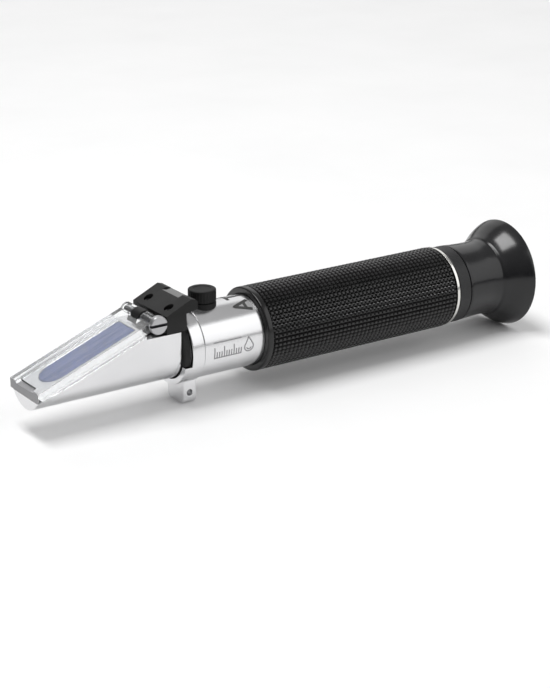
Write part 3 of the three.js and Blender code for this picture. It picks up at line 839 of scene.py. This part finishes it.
def arc(cu, cv, radius, start, end, steps=16):
    out = []
    for i in range(steps + 1):
        t = math.radians(start + (end - start) * i / steps)
        out.append((cu + radius * math.cos(t), cv + radius * math.sin(t)))
    return out


def make_function_letters():
    """The function letters, read from the grip side: an A on the near shoulder, then T and C."""
    top, foot = -8.2, -1.8
    middle = (top + foot) / 2
    a = TUBE_R * math.radians(27)
    letters = [
        [(a + 2.3, foot), (a, top), (a - 2.3, foot)],
        [(a + 1.5, middle + 1.2), (a - 1.5, middle + 1.2)],
        [(-0.6 + 2.2, top + 0.4), (-0.6 - 2.2, top + 0.4)],
        [(-0.6, top + 0.4), (-0.6, foot)],
        arc(-6.4, middle, 2.75, 40, 320, 24),
    ]
    marking("function_letters", letters, 1.15, PRINT)


def make_side_mark():
    """A plain etched pictogram on the near side: a drop beside a short graduated scale."""
    u0 = TUBE_R * math.radians(92)
    drop_v = -6.6
    tip = (u0 - 2.7, drop_v)
    drops = [
        [tip] + arc(u0 + 0.8, drop_v, 1.75, 120, -120, 24) + [tip],
        arc(u0 + 0.8, drop_v, 0.95, 70, -70, 10),
    ]
    ticks = [[(u0 + 2.6, -20.6), (u0 + 2.6, -9.6)], [(u0 - 3.0, -20.6), (u0 - 3.0, -9.6)]]
    for i in range(12):
        v = -20.4 + i * 0.97
        reach = 3.9 if i % 4 == 0 else 2.2
        ticks.append([(u0 + 2.6, v), (u0 + 2.6 - reach, v)])
    marking("side_mark", ticks + drops, 0.42, ETCH)


# ---- pieces inside ----


def dress_inside():
    looks = {
        "calibration_screw": BRASS, "objective_cell": ANODISED, "objective_lens": LENS,
        "strip_foot": ANODISED, "bimetal_strip": BIMETAL, "strip_screw": BRASS,
        "compensator_prism": LENS, "light_stop": ANODISED, "reticle_mount": ANODISED,
        "reticle": LENS, "reticle_ring": ANODISED, "eyepiece_bush": ANODISED,
        "ocular_cell": ANODISED, "field_lens": LENS, "lens_spacer": ANODISED,
        "eye_lens": LENS, "lens_retainer": ANODISED,
    }
    for name, material in looks.items():
        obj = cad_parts[name]
        obj.data.materials.clear()
        obj.data.materials.append(material)


# ---- stage ----


def make_floor():
    n = Nodes("floor_paper")
    fibre = n.noise(14, 4.0)
    n.link(n.blend(n.remap(fibre, 0, 1), (0.93, 0.93, 0.93), (0.96, 0.96, 0.96)),
           n.bsdf.inputs["Base Color"])
    n.set(Roughness=0.9)
    size = 6.0
    corners = [(-size, -size, 0), (size, -size, 0), (size, size, 0), (-size, size, 0)]
    floor = mesh_object("floor", corners, [(0, 1, 2, 3)])
    floor.location.z = -0.00005
    floor.data.materials.append(n.mat)


def make_world():
    """Soft studio surround: brighter overhead, darker low on the walls."""
    world = bpy.data.worlds.new("studio")
    world.use_nodes = True
    bpy.context.scene.world = world
    tree = world.node_tree
    back = tree.nodes["Background"]
    coord = tree.nodes.new("ShaderNodeTexCoord")
    split = tree.nodes.new("ShaderNodeSeparateXYZ")
    ramp = tree.nodes.new("ShaderNodeValToRGB")
    ramp.color_ramp.elements[0].position = 0.0
    ramp.color_ramp.elements[0].color = (0.05, 0.05, 0.05, 1)
    ramp.color_ramp.elements[1].position = 1.0
    ramp.color_ramp.elements[1].color = (0.50, 0.50, 0.50, 1)
    mid = ramp.color_ramp.elements.new(0.3)
    mid.color = (0.24, 0.24, 0.24, 1)
    tree.links.new(coord.outputs["Generated"], split.inputs["Vector"])
    tree.links.new(split.outputs["Z"], ramp.inputs["Fac"])
    tree.links.new(ramp.outputs["Color"], back.inputs["Color"])
    back.inputs["Strength"].default_value = 1.0


def area_light(name, place, aim, size, power):
    data = bpy.data.lights.new(name, "AREA")
    data.shape = "RECTANGLE"
    data.size, data.size_y = size
    data.energy = power
    obj = bpy.data.objects.new(name, data)
    obj.location = place
    obj.rotation_mode = "QUATERNION"
    obj.rotation_quaternion = (Vector(aim) - Vector(place)).to_track_quat("-Z", "Y")
    bpy.context.scene.collection.objects.link(obj)


def make_camera():
    """The camera stands where the photo was taken from, and looks at the target point."""
    azimuth, elevation = math.radians(34.32), math.radians(19.94)
    distance = 640.0 * MM
    target = point(12.70, 0.0, -8.16)
    forward = Vector((math.sin(azimuth) * math.cos(elevation),
                      math.cos(azimuth) * math.cos(elevation), -math.sin(elevation)))
    data = bpy.data.cameras.new("camera")
    data.sensor_width = 36.0
    data.lens = 94.693605
    data.clip_start, data.clip_end = 0.01, 50
    obj = bpy.data.objects.new("camera", data)
    obj.location = target - forward * distance
    obj.rotation_mode = "QUATERNION"
    obj.rotation_quaternion = forward.to_track_quat("-Z", "Y")
    bpy.context.scene.collection.objects.link(obj)
    bpy.context.scene.camera = obj


make_camera()
make_floor()
make_world()
area_light("overhead", (-0.30, 0.05, 1.20), (0, 0, 0), (0.8, 0.35), 9.0)
area_light("front", (0.75, -1.05, 0.75), (0, 0, 0), (1.5, 1.4), 7.2)
area_light("back", (0.55, 1.00, 0.65), (0, 0, 0), (1.8, 1.0), 4.0)
bpy.context.scene.view_settings.view_transform = "Standard"

make_tube()
make_gasket()
make_trim()
make_grip()
make_barrel()
make_cup()
make_knob()
make_bush()
make_head()
make_prism()
make_plate()
make_hinge_base()
make_pin()
make_base_screw("base_screw_near", -SCREW_Y)
make_base_screw("base_screw_far", SCREW_Y)
make_collar()
make_function_letters()
make_side_mark()
dress_inside()
